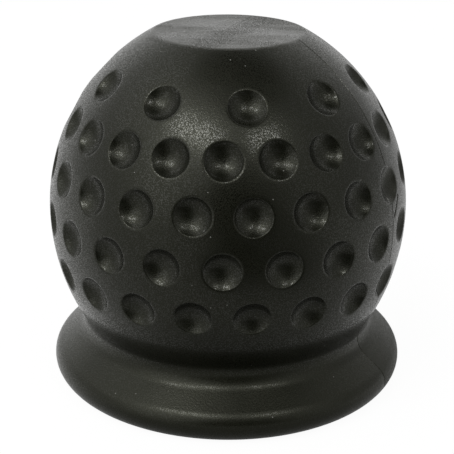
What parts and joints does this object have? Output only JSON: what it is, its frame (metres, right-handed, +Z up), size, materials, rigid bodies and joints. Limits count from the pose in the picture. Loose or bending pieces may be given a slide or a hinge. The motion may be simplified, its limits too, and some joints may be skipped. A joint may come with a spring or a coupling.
{
  "type": "tow ball cover",
  "caption": "Hollow black rubber cover for a tow ball: a dimpled ball with a flat top, a narrow neck and a flared skirt, open underneath so that it presses over the ball.",
  "frame": {"origin": "on the axis, in the plane of the foot that the skirt stands on", "axes": "+Z up along the axis towards the flat top; the mould's parting plane is XZ"},
  "size_m": [0.0662, 0.0662, 0.0652],
  "materials": {
    "black_rubber": "satin moulded rubber with a fine grain"
  },
  "bodies": {
    "root": {"ball_cover": "black_rubber"}
  },
  "joints": []
}
